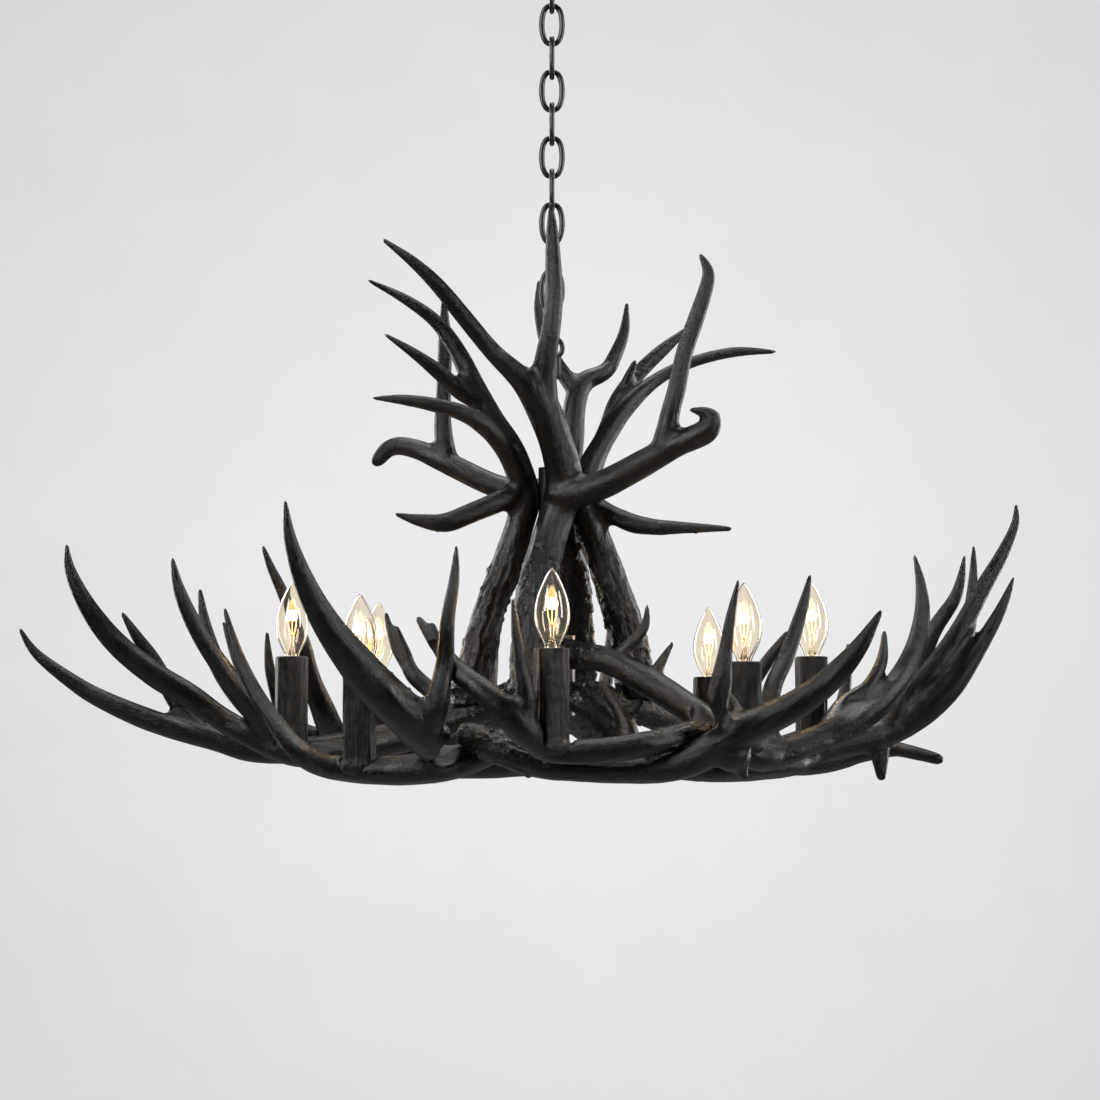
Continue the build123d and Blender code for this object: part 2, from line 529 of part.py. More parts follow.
def bulb(name):
    """Flame shaped envelope with its glass post, then the screw shell with the filament."""
    x, y = lamp_spot(name)
    neck = RING_Z + LAMPS[name][1] - SOCKET_SINK + BULB_GAP
    outer = [(BULB_NECK_R, 0), (BULB_NECK_R + 0.3, 5), (BULB_R * 0.70, 15), (BULB_R * 0.93, 25),
             (BULB_R, 35), (BULB_R * 0.95, 45), (BULB_R * 0.78, 56), (BULB_R * 0.54, 66),
             (BULB_R * 0.27, 75)]
    outer = [(r, z * BULB_LENGTH / 80) for r, z in outer]
    envelope = flame(outer, 0) - flame(outer, GLASS_WALL)
    post = upright(0, 0, PLUG_LENGTH + 0.05, PLUG_LENGTH + 0.05 + POST_LENGTH, POST_R)
    plug = upright(0, 0, 0, PLUG_LENGTH, BULB_NECK_R - GLASS_WALL - 0.1)
    screw = upright(0, 0, 1 - BASE_LENGTH, 0, BASE_R)
    tip = upright(0, 0, 0.15 - BASE_LENGTH, 1.15 - BASE_LENGTH, BASE_R / 2)
    foot, peak = Vector(0, 0, POST_LENGTH + 1.7), Vector(0, 0, WIRE_TOP)
    side = Vector(WIRE_REACH, 0, 0)
    wires = [rod(foot, peak + side * way, 0.5) for way in (-1, 1)]
    glow = rod(peak - side * 1.05, peak + side * 1.05, 0.6).fuse(*wires)
    place = Pos(x, y, neck)
    return [place * envelope, place * post], [place * (screw + tip + plug), place * glow]


def save(name, *pieces):
    solids = [solid for piece in pieces for solid in piece.solids()]
    shape = solids[0] if len(solids) == 1 else Compound(children=solids)
    export_step(shape, f"parts/{name}.step")


def main():
    os.makedirs("parts", exist_ok=True)
    bodies = {name: antler(name) for name in ANTLERS}
    pins = []

    def dowel(names, start, end):
        axis = (end - start).normalized()
        hole = rod(start - axis * PIN_END, end + axis * PIN_END, PIN_R + FIT)
        for name in names:
            bodies[name] -= hole
        pins.append(rod(start, end, PIN_R))

    # antler against antler
    for one, two in LAPS:
        (p, rp), (q, rq) = nearest(one, two)
        across = (q - p).normalized()
        bite = rp + rq + LAP_GAP - (q - p).length
        if bite < 0:
            raise ValueError(f"{one} and {two} do not meet")
        level = p + across * (rp - bite / 2)
        reach = 2.4 * max(rp, rq)
        deep = 2 * max(rp, rq)
        for name, sign in ((one, 1), (two, -1)):
            face = Plane(origin=level - across * (sign * LAP_GAP / 2), z_dir=across * sign)
            bodies[name] -= face * Box(
                reach * 2, reach * 2, deep, align=(Align.CENTER, Align.CENTER, Align.MIN))
        spot = level + Vector(*PIN_ASIDE.get((one, two), (0, 0, 0)))
        dowel((one, two), spot - across * rp * LAP_PIN, spot + across * rq * LAP_PIN)

    # crown feet on the ring
    for crown, low, height in FEET:
        level = RING_Z + height
        x, y, _, radius = ANTLERS[crown]["beam"][0]
        bodies[crown] -= Pos(x, y, level) * Box(
            6 * radius, 6 * radius, 3 * radius, align=(Align.CENTER, Align.CENTER, Align.MAX))
        bodies[low] -= upright(x, y, level, level + 3 * radius, radius + 8)
        centre, _ = beam_at(low, x, y)
        dowel((crown, low), Vector(x, y, centre.Z - 3), Vector(x, y, level + radius))

    # roots against the lower hub, crown beams against the upper one
    low_hub = upright(0, 0, RING_Z + HUB_BOTTOM, RING_Z + HUB_TOP, LOW_HUB_R)
    for name in HUB_ROOTS:
        bodies[name] -= upright(0, 0, RING_Z, RING_Z + 200, LOW_HUB_R + LAP_GAP)
        x, y, h, _ = ANTLERS[name]["beam"][0]
        out = Vector(x, y, 0).normalized()
        start = out * (LOW_HUB_R - PIN_BITE) + Vector(0, 0, RING_Z + h)
        end = out * (LOW_HUB_R + PIN_BITE) + Vector(0, 0, RING_Z + h)
        low_hub -= rod(start - out * PIN_END, end, PIN_R + FIT)
        dowel((name,), start, end)
    high_hub = upright(0, 0, RING_Z + HIGH_HUB_BOTTOM, RING_Z + HIGH_HUB_TOP, HIGH_HUB_R)
    for name in CROWN:
        bodies[name] -= upright(0, 0, RING_Z + 200, RING_Z + 380, HIGH_HUB_R + LAP_GAP)
        near = min(sampled(name), key=lambda row: (
            math.hypot(row[0].X, row[0].Y) - row[1] + 0.2 * abs(row[0].Z - RING_Z - HIGH_HUB_MID)))
        spot = near[0]
        out = Vector(spot.X, spot.Y, 0).normalized()
        level = Vector(0, 0, spot.Z)
        start, end = level + out * (STEM_R + 1.5), level + out * (HIGH_HUB_R + PIN_BITE)
        high_hub -= rod(start, end, PIN_R + FIT)
        dowel((name,), start + out * PIN_END, end)
    stem_hole = upright(0, 0, RING_Z - 50, STEM_TOP_Z + 50, STEM_R + FIT)
    low_hub -= stem_hole

    # lamps
    sockets, glasses, bases = [], {}, {}
    for name, bearer in LAMP_BEARERS.items():
        x, y = lamp_spot(name)
        centre, radius = beam_at(bearer, x, y)
        sock = socket(name)
        foot, seat, over = centre.Z - radius * 0.4 - PIN_END, sleeve_seat(name), centre.Z + 60
        bodies[bearer] -= upright(x, y, foot, over, SOCKET_NIPPLE_R + FIT)
        bodies[bearer] -= upright(x, y, seat, over, SLEEVE_R + SLEEVE_FLARE + FIT)
        save("sleeve_" + name, sleeve(name))
        sockets.append(sock)
        glass, metal = bulb(name)
        save("bulb_glass_" + name, *glass)
        save("bulb_base_" + name, *metal)
    save("lamp_sockets", *sockets)

    for name, body in bodies.items():
        save(name, body)
    save("dowel_pins", *pins)
    save("lower_hub", low_hub)
    stem = upright(0, 0, RING_Z + HUB_BOTTOM - NUT_HIGH - 6, STEM_TOP_Z - 1, STEM_R)
    save("center_stem", stem + high_hub)
    save("stem_nuts", hex_nut(RING_Z + HUB_BOTTOM - NUT_HIGH), hex_nut(RING_Z + HUB_TOP))
    save("hub_loop", hub_loop())
    for i in range(LINK_COUNT):
        middle = Vector(0, 0, CHAIN_TOP_Z - (i + 0.5) * LINK_PITCH)
        save(f"chain_link_{i + 1:02d}", chain_link(middle, i % 2 == 0))
    save("ceiling_canopy", canopy())
    save("mounting_crossbar", crossbar())
    save("canopy_nipple", upright(0, 0, -CANOPY_DEPTH - COLLAR_LENGTH / 2 + 1, -1, NIPPLE_R))
    save("canopy_loop", canopy_loop())


if __name__ == "__main__":
    main()
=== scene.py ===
import heapq
import math
import random

import bmesh
import bpy
import numpy as np
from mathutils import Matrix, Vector, kdtree, noise


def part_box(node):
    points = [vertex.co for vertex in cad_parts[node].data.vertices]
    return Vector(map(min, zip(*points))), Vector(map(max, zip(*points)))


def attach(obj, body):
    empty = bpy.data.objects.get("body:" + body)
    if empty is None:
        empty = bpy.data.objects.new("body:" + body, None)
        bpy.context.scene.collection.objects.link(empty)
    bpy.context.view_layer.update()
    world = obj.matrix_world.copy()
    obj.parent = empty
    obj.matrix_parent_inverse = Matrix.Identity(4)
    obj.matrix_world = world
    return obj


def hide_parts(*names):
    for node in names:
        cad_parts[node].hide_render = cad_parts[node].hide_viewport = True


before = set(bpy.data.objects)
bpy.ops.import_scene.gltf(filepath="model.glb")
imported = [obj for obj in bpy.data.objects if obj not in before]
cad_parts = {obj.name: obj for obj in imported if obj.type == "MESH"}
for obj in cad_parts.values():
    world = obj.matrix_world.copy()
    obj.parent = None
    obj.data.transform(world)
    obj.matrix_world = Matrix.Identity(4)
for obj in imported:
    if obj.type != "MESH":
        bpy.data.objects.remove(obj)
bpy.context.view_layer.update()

bl_info = {
    "name": "Antler Chandelier",
    "version": (1, 0, 0),
    "blender": (4, 5, 0),
    "location": "3D View > Sidebar > Chandelier",
    "description": "Dresses a hanging antler chandelier: antlers, candle sleeves, bulbs, chain and canopy",
    "category": "Object",
}

MM = 0.001
RING_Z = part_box("lower_hub")[0].z - 56 * MM  # level that the lamps' heights are measured from
ANTLERS = sorted(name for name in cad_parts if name.endswith("_antler"))
LAMPS = sorted(name[len("sleeve_"):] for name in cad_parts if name.startswith("sleeve_"))
LINKS = sorted(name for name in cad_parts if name.startswith("chain_link"))


# --- sizes and colours -------------------------------------------------------------------
class AntlerLook(bpy.types.PropertyGroup):
    voxel: bpy.props.FloatProperty(
        name="Voxel", description="Spacing of the antlers' skin", default=1.45 * MM, subtype="DISTANCE")
    groove: bpy.props.FloatProperty(
        name="Groove depth", description="How deep the long grooves are", default=0.8 * MM,
        subtype="DISTANCE")
    pearl: bpy.props.FloatProperty(
        name="Bead height", description="How far the beads near the burrs stand out", default=2.4 * MM,
        subtype="DISTANCE")
    web: bpy.props.FloatProperty(
        name="Web", description="Radius that the forks are filled to", default=2.6 * MM, subtype="DISTANCE")
    tone: bpy.props.FloatVectorProperty(
        name="Resin", description="Colour of the black resin",
        default=(0.002, 0.002, 0.0022), subtype="COLOR")
    # painted sheen: the lighter colour given to the raised grain stands in for highlights
    sheen_colour: bpy.props.FloatVectorProperty(
        name="Sheen", description="Colour of the rubbed grain",
        default=(0.013, 0.0128, 0.0128), subtype="COLOR")
    gloss: bpy.props.FloatProperty(
        name="Roughness", description="Roughness of the resin", default=0.26, min=0, max=1, subtype="FACTOR")


class LampLook(bpy.types.PropertyGroup):
    sleeve_radius: bpy.props.FloatProperty(
        name="Sleeve radius", description="Radius of a candle sleeve", default=17.3 * MM, subtype="DISTANCE")
    neck_radius: bpy.props.FloatProperty(
        name="Neck radius", description="Radius of a bulb's neck", default=7.3 * MM, subtype="DISTANCE")
    bulb_radius: bpy.props.FloatProperty(
        name="Bulb radius", description="Widest radius of a bulb", default=17.5 * MM, subtype="DISTANCE")
    glow: bpy.props.FloatProperty(
        name="Glow", description="Strength of the filaments", default=30.0, min=0)
    glass_tint: bpy.props.FloatVectorProperty(
        name="Glass", description="Tint of the bulbs' glass", default=(1.0, 0.935, 0.82), subtype="COLOR")
    warm: bpy.props.FloatVectorProperty(
        name="Warm", description="Colour of the glowing wire", default=(1.0, 0.62, 0.25), subtype="COLOR")


class ChainLook(bpy.types.PropertyGroup):
    wire: bpy.props.FloatProperty(
        name="Wire", description="Thickness of a link's wire", default=5.4 * MM, subtype="DISTANCE")
    width: bpy.props.FloatProperty(
        name="Width", description="Width of a link", default=27.0 * MM, subtype="DISTANCE")
    paint: bpy.props.FloatVectorProperty(
        name="Paint", description="Colour of the black painted steel",
        default=(0.006, 0.006, 0.0065), subtype="COLOR")


class StageLook(bpy.types.PropertyGroup):
    backdrop: bpy.props.FloatVectorProperty(
        name="Backdrop", description="Colour behind the fixture",
        default=(0.835, 0.835, 0.85), subtype="COLOR")
    distance: bpy.props.FloatProperty(
        name="Camera distance", description="From the stem to the camera", default=3.19, subtype="DISTANCE")
    pitch: bpy.props.FloatProperty(
        name="Pitch", description="How far the camera looks up", default=math.radians(4.067), subtype="ANGLE")
    lens: bpy.props.FloatProperty(
        name="Lens", description="Focal length in millimetres", default=36 * 3094 / 1100)


# --- shader maths ------------------------------------------------------------------------
class Flow:
    """A node's output that can be used in sums."""

    def __init__(self, graph, socket):
        self.graph, self.socket = graph, socket

    def _maths(self, operation, first, second):
        return self.graph.node("ShaderNodeMath", {"operation": operation}, {0: first, 1: second})

    def __add__(self, other):
        return self._maths("ADD", self, other)

    __radd__ = __add__

    def __sub__(self, other):
        return self._maths("SUBTRACT", self, other)

    def __mul__(self, other):
        return self._maths("MULTIPLY", self, other)

    __rmul__ = __mul__


class Graph:
    """The nodes of one material, or of the air around the object."""

    def __init__(self, name, air=False):
        self.owner = (bpy.data.worlds if air else bpy.data.materials).new(name)
        self.owner.use_nodes = True
        self.tree = self.owner.node_tree
        self.tree.nodes.clear()
        self.output = self.tree.nodes.new("ShaderNodeOutputWorld" if air else "ShaderNodeOutputMaterial")

    def node(self, kind, settings=None, inputs=None, out=0):
        made = self.tree.nodes.new(kind)
        for key, value in (settings or {}).items():
            setattr(made, key, value)
        for key, value in (inputs or {}).items():
            socket = made.inputs[key]
            if isinstance(value, Flow):
                self.tree.links.new(value.socket, socket)
            elif hasattr(socket.default_value, "__len__"):
                size = len(socket.default_value)
                socket.default_value = tuple(value)[:size] if len(value) >= size else (*value, 1)
            else:
                socket.default_value = value
        return Flow(self, made.outputs[out])

    def blend(self, factor, low, high):
        return self.node("ShaderNodeMix", {"data_type": "RGBA"}, {0: factor, 6: low, 7: high}, out=2)

    def clamp(self, value, low, high, start=0.0, end=1.0):
        return self.node("ShaderNodeMapRange", {}, {0: value, 1: low, 2: high, 3: start, 4: end})

    def noise(self, where, scale, detail=3.0, rough=0.5):
        return self.node("ShaderNodeTexNoise", {}, {
            "Vector": where, "Scale": scale, "Detail": detail, "Roughness": rough})

    def object_space(self):
        return self.node("ShaderNodeTexCoord", {}, {}, out="Object")

    def attribute(self, name, out="Fac"):
        return self.node("ShaderNodeAttribute", {"attribute_name": name}, {}, out=out)

    def bump(self, height, strength, distance):
        return self.node("ShaderNodeBump", {}, {"Height": height, "Strength": strength, "Distance": distance})

    def finish(self, shader):
        self.tree.links.new(shader.socket, self.output.inputs["Surface"])
        return self.owner


def antler_resin():
    """Black cast resin: satin, with streaks along the limbs and duller hollows; a painted sheen lightens the
    raised grain and painted shade darkens the hollows.
    """
    look = bpy.context.scene.antler_look
    g = Graph("antler_resin")
    here = g.object_space()
    grain = g.attribute("grain", "Vector")
    hollow = g.attribute("hollow")
    gnarl = g.attribute("gnarl")
    streak = g.noise(grain, 4.5, 4, 0.6)
    fine = g.noise(grain, 15.0, 3, 0.6)
    cloud = g.noise(here, 24, 3)
    grit = g.noise(here, 700, 2, 0.6)
    knots = g.noise(here, 210, 4, 0.62)
    pits = g.node("ShaderNodeTexVoronoi", {}, {"Vector": here, "Scale": 330}, out="Distance")
    # painted sheen and painted shade: lighter on the raised streaks, darker in the hollows
    painted_sheen = g.clamp(streak * 0.55 + cloud * 0.45 - hollow * 0.12, 0.5, 0.76)
    colour = g.blend(painted_sheen, look.tone, look.sheen_colour)
    brown = g.clamp(g.noise(here, 13, 4, 0.6) * 0.75 + fine * 0.25 - hollow * 0.05, 0.60, 0.72, 0, 0.2)
    colour = g.blend(brown, colour, (0.040, 0.024, 0.014))
    rough = look.gloss - 0.1 + cloud * 0.14 + fine * 0.14 + hollow * 0.10
    height = streak * 0.6 + fine * 0.3 + grit * 0.05 + (knots * 1.5 + pits * 0.5) * gnarl
    normal = g.bump(height + g.noise(grain, 34.0, 2, 0.6) * 0.16, 0.7, 1.1 * MM)
    shader = g.node("ShaderNodeBsdfPrincipled", {}, {
        "Base Color": colour, "Roughness": rough, "Normal": normal, "Specular IOR Level": 0.36})
    return g.finish(shader)


def sleeve_resin():
    """The sleeves' darker, rougher bark."""
    look = bpy.context.scene.antler_look
    g = Graph("sleeve_resin")
    here = g.object_space()
    tall = g.node("ShaderNodeMapping", {}, {"Vector": here, "Scale": (1, 1, 0.12)})
    fibre = g.noise(tall, 420, 4, 0.6)
    cloud = g.noise(here, 60, 3)
    chip = g.node("ShaderNodeTexVoronoi", {}, {"Vector": tall, "Scale": 150}, out="Distance")
    colour = g.blend(g.clamp(fibre * 0.5 + cloud * 0.5, 0.5, 0.72), look.tone, (0.016, 0.0155, 0.0155))
    rough = 0.27 + cloud * 0.16 + fibre * 0.12
    normal = g.bump(fibre * 0.9 + chip * 0.6 + cloud * 0.8, 1.0, 2.2 * MM)
    shader = g.node("ShaderNodeBsdfPrincipled", {}, {
        "Base Color": colour, "Roughness": rough, "Normal": normal, "Specular IOR Level": 0.36})
    return g.finish(shader)


def black_steel():
    """Painted steel of the chain and the canopy, worn to a shine where it rubs."""
    look = bpy.context.scene.chain_look
    g = Graph("black_steel")
    here = g.object_space()
    cloud = g.noise(here, 90, 4)
    grit = g.noise(here, 1400, 2)
    worn = g.clamp(g.noise(here, 240, 3, 0.6), 0.62, 0.74, 0, 0.35)
    colour = g.blend(worn, look.paint, (0.035, 0.033, 0.032))
    rough = 0.24 + cloud * 0.2 + grit * 0.06
    normal = g.bump(grit * 0.4 + cloud * 0.6, 0.25, 0.4 * MM)
    shader = g.node("ShaderNodeBsdfPrincipled", {}, {
        "Base Color": colour, "Roughness": rough, "Normal": normal, "Metallic": 0.0,
        "Specular IOR Level": 0.5, "Coat Weight": 0.3, "Coat Roughness": 0.12})
    return g.finish(shader)


def plain_metal(name, colour, shade, rough):
    """Bare metal with fine turning marks."""
    g = Graph(name)
    here = g.object_space()
    cloud = g.noise(here, 130, 3)
    mark = g.noise(g.node("ShaderNodeMapping", {}, {"Vector": here, "Scale": (1, 1, 9)}), 500, 3)
    tint = g.blend(cloud, colour, shade)
    shader = g.node("ShaderNodeBsdfPrincipled", {}, {
        "Base Color": tint, "Metallic": 1.0, "Roughness": rough + mark * 0.18,
        "Normal": g.bump(mark, 0.2, 0.2 * MM)})
    return g.finish(shader)


def clear_glass():
    """Clear, slightly warm glass that lets the wire's light out."""
    look = bpy.context.scene.lamp_look
    g = Graph("bulb_glass")
    here = g.object_space()
    glass = g.node("ShaderNodeBsdfPrincipled", {}, {
        "Base Color": look.glass_tint, "Roughness": 0.01 + g.noise(here, 60, 2) * 0.02,
        "Transmission Weight": 1.0, "IOR": 1.45})
    through = g.node("ShaderNodeBsdfTransparent", {}, {"Color": look.glass_tint})
    shadow = g.node("ShaderNodeLightPath", {}, {}, out="Is Shadow Ray")
    return g.finish(g.node("ShaderNodeMixShader", {}, {0: shadow, 1: glass, 2: through}))


def lit_wire(name, share, glow_colour):
    """Glowing wire for the filament; on the support wires the glow is painted light, since real supports
    don't glow.
    """
    look = bpy.context.scene.lamp_look
    g = Graph(name)
    here = g.object_space()
    glow_mottle = g.clamp(g.noise(here, 300, 2), 0.3, 0.7)
    colour = g.blend(glow_mottle, look.warm, glow_colour)
    shader = g.node("ShaderNodeBsdfPrincipled", {}, {
        "Base Color": (0.8, 0.5, 0.2), "Roughness": 0.5, "Emission Color": colour,
        "Emission Strength": look.glow * share})
    return g.finish(shader)


# --- mesh tools --------------------------------------------------------------------------
def only(obj):
    """Makes obj the one selected and active object."""
    bpy.ops.object.select_all(action="DESELECT")
    obj.select_set(True)
    bpy.context.view_layer.objects.active = obj
    return obj


def apply_modifier(obj, kind, **settings):
    only(obj)
    modifier = obj.modifiers.new(kind.title(), kind)
    for key, value in settings.items():
        setattr(modifier, key, value)
    bpy.ops.object.modifier_apply(modifier=modifier.name)
    return obj


def settle(obj):
    """Puts an object's place into its mesh."""
    only(obj)
    bpy.ops.object.transform_apply(location=True, rotation=True, scale=True)
    return obj


def join(parts, name):
    bpy.ops.object.select_all(action="DESELECT")
    for part in parts:
        part.select_set(True)
    bpy.context.view_layer.objects.active = parts[0]
    bpy.ops.object.join()
    parts[0].name = name
    return parts[0]


def node_copy(node, name):
    """A merged copy of a CAD node's mesh as a new object."""
    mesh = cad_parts[node].data.copy()
    obj = bpy.data.objects.new(name, mesh)
    bpy.context.scene.collection.objects.link(obj)
    mesh.materials.clear()
    work = bmesh.new()
    work.from_mesh(mesh)
    bmesh.ops.remove_doubles(work, verts=work.verts, dist=1e-5)
    work.to_mesh(mesh)
    work.free()
    return obj


def points_of(mesh):
    co = np.empty(len(mesh.vertices) * 3, np.float32)
    mesh.vertices.foreach_get("co", co)
    return co.reshape(-1, 3).astype(float)


def normals_of(mesh):
    mesh.update()
    no = np.empty(len(mesh.vertices) * 3, np.float32)
    mesh.vertices.foreach_get("normal", no)
    return no.reshape(-1, 3).astype(float)


def set_points(mesh, co):
    mesh.vertices.foreach_set("co", np.asarray(co, np.float32).ravel())
    mesh.update()


def edges_of(mesh):
    ends = np.empty(len(mesh.edges) * 2, np.int32)
    mesh.edges.foreach_get("vertices", ends)
    return ends.reshape(-1, 2)


def spread(values, ends, count):
    """Mean of each vertex's neighbours."""
    a, b = ends[:, 0], ends[:, 1]
    share = np.bincount(a, minlength=count) + np.bincount(b, minlength=count)
    share = np.maximum(share, 1)
    if values.ndim == 1:
        total = np.bincount(a, values[b], count) + np.bincount(b, values[a], count)
        return total / share
    return np.stack([spread(values[:, i], ends, count) for i in range(values.shape[1])], axis=1)


def relax(values, ends, rounds, pull=0.5):
    for _ in range(rounds):
        values = values + (spread(values, ends, len(values)) - values) * pull
    return values


def attribute(mesh, name, values):
    vector = values.ndim == 2
    layer = mesh.attributes.new(name, "FLOAT_VECTOR" if vector else "FLOAT", "POINT")
    layer.data.foreach_set("vector" if vector else "value", np.asarray(values, np.float32).ravel())


def dress(obj, material, body, slot, *nodes):
    """Gives a finished piece its material and body, and hides the CAD nodes that it stands for. The slot is
    not used.
    """
    obj.data.materials.clear()
    obj.data.materials.append(material)
    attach(obj, body)
    if nodes:
        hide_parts(*nodes)
    return obj


def shade(obj, angle=None):
    only(obj)
    if angle is None:
        bpy.ops.object.shade_smooth()
    else:
        bpy.ops.object.shade_smooth_by_angle(angle=math.radians(angle))
    return obj


def lathe(profile, name, steps=64, centre=(0, 0)):
    """A closed skin spun from (radius, height) points about an upright axis."""
    mesh = bpy.data.meshes.new(name)
    obj = bpy.data.objects.new(name, mesh)
    bpy.context.scene.collection.objects.link(obj)
    work = bmesh.new()
    verts = [work.verts.new((centre[0] + r, centre[1], z)) for r, z in profile]
    for a, b in zip(verts, verts[1:]):
        work.edges.new((a, b))
    work.to_mesh(mesh)
    work.free()
    only(obj)
    bpy.ops.object.mode_set(mode="EDIT")
    bpy.ops.mesh.select_all(action="SELECT")
    bpy.ops.mesh.spin(steps=steps, angle=math.tau, center=(centre[0], centre[1], 0), axis=(0, 0, 1))
    bpy.ops.mesh.select_all(action="SELECT")
    bpy.ops.mesh.remove_doubles(threshold=1e-6)
    bpy.ops.mesh.normals_make_consistent(inside=False)
    bpy.ops.object.mode_set(mode="OBJECT")
    return obj


def limb_field(obj, start):
    """For every vertex: way along the antler from its root, direction of the limb and direction out of it."""
    coarse = obj.copy()
    coarse.data = obj.data.copy()
    bpy.context.scene.collection.objects.link(coarse)
    apply_modifier(coarse, "REMESH", mode="VOXEL", voxel_size=4 * MM)
    mesh = coarse.data
    co, ends = points_of(mesh), edges_of(mesh)
    beside = [[] for _ in co]
    for (a, b), size in zip(ends, np.linalg.norm(co[ends[:, 0]] - co[ends[:, 1]], axis=1)):
        beside[a].append((b, size))
        beside[b].append((a, size))
    root = int(np.argmin(np.linalg.norm(co - start, axis=1)))
    way = np.full(len(co), 1e9)
    way[root] = 0
    heap = [(0.0, root)]
    while heap:
        gone, v = heapq.heappop(heap)
        if gone > way[v]:
            continue
        for u, size in beside[v]:
            if gone + size < way[u]:
                way[u] = gone + size
                heapq.heappush(heap, (way[u], u))
    way[way > 1e8] = 0
    way = relax(way, ends, 12)
    one, two = ends[:, 0], ends[:, 1]
    gap = co[two] - co[one]
    step = gap * ((way[two] - way[one]) / (np.linalg.norm(gap, axis=1) ** 2))[:, None]
    along = np.stack([np.bincount(one, step[:, k], len(co)) + np.bincount(two, step[:, k], len(co))
                      for k in range(3)], axis=1)
    along = unit(relax(along, ends, 14))
    out = co - relax(co, ends, 120, 0.9)
    out = out - along * (out * along).sum(1, keepdims=True)
    out = unit(relax(unit(out), ends, 2))
    tree = kdtree.KDTree(len(co))
    for i, point in enumerate(co):
        tree.insert(point, i)
    tree.balance()
    bpy.data.objects.remove(coarse)
    fine = points_of(obj.data)
    near = np.empty((len(fine), 4), int)
    share = np.empty((len(fine), 4))
    for i, point in enumerate(fine):
        for j, (_, index, gap) in enumerate(tree.find_n(point, 4)):
            near[i, j], share[i, j] = index, 1 / (gap + 4e-4) ** 2
    share /= share.sum(1, keepdims=True)
    ends = edges_of(obj.data)
    mixed = [relax((field[near] * (share if field.ndim == 1 else share[:, :, None])).sum(1), ends, 4)
             for field in (way, along, out)]
    return mixed[0], unit(mixed[1]), unit(mixed[2])


def unit(rows):
    return rows / np.maximum(np.linalg.norm(rows, axis=1, keepdims=True), 1e-9)


def waves(places, detail=2):
    """Smooth noise at each place, in about -1 to 1."""
    total, size = np.zeros(len(places)), 1.0
    for _ in range(detail):
        total += size * np.array([noise.noise(Vector(place)) for place in places])
        places, size = places * 2.03 + 11.7, size * 0.5
    return total


def beads(co, zone, each, draw, small, large):
    """Low domes scattered where zone is above 0, as a height from 0 to 1."""
    tall = np.zeros(len(co))
    pool = np.nonzero(zone > 0.02)[0]
    if not len(pool):
        return tall
    tree = kdtree.KDTree(len(co))
    for i, point in enumerate(co):
        tree.insert(point, i)
    tree.balance()
    for _ in range(int(zone.sum() / each)):
        at = int(pool[draw.randrange(len(pool))])
        if draw.random() > zone[at]:
            continue
        size = draw.uniform(small, large)
        high = draw.uniform(0.45, 1.0) * size / large
        for _, i, gone in tree.find_range(co[at], size):
            tall[i] = max(tall[i], high * math.sqrt(max(0.0, 1 - (gone / size) ** 2)))
    return tall


